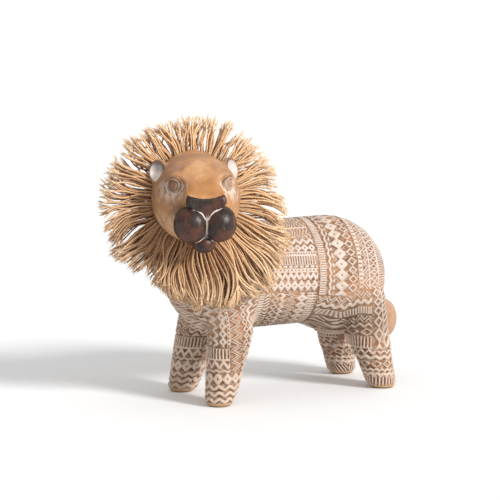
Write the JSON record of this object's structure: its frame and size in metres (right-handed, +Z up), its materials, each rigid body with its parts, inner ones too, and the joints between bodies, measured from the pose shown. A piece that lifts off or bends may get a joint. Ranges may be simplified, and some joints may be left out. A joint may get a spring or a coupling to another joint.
{
  "type": "lion figurine",
  "caption": "Standing lion figurine in washed resin with carved geometric bands, its head turned to its left inside a round mane of frayed jute cords.",
  "frame": {"origin": "on the floor under the soles, at the middle of the whole figure's box", "axes": "+X from the chest towards the tail, +Y towards the lion's right side, +Z up"},
  "size_m": [0.2716, 0.1148, 0.2315],
  "materials": {
    "washed_resin": "matte, brown with a pale wash over the carving, tan on the head and dark on the muzzle",
    "jute": "matte twisted cord with frayed ends"
  },
  "bodies": {
    "root": {"lion_casting": "washed_resin", "cord_mane": "jute"}
  },
  "joints": []
}
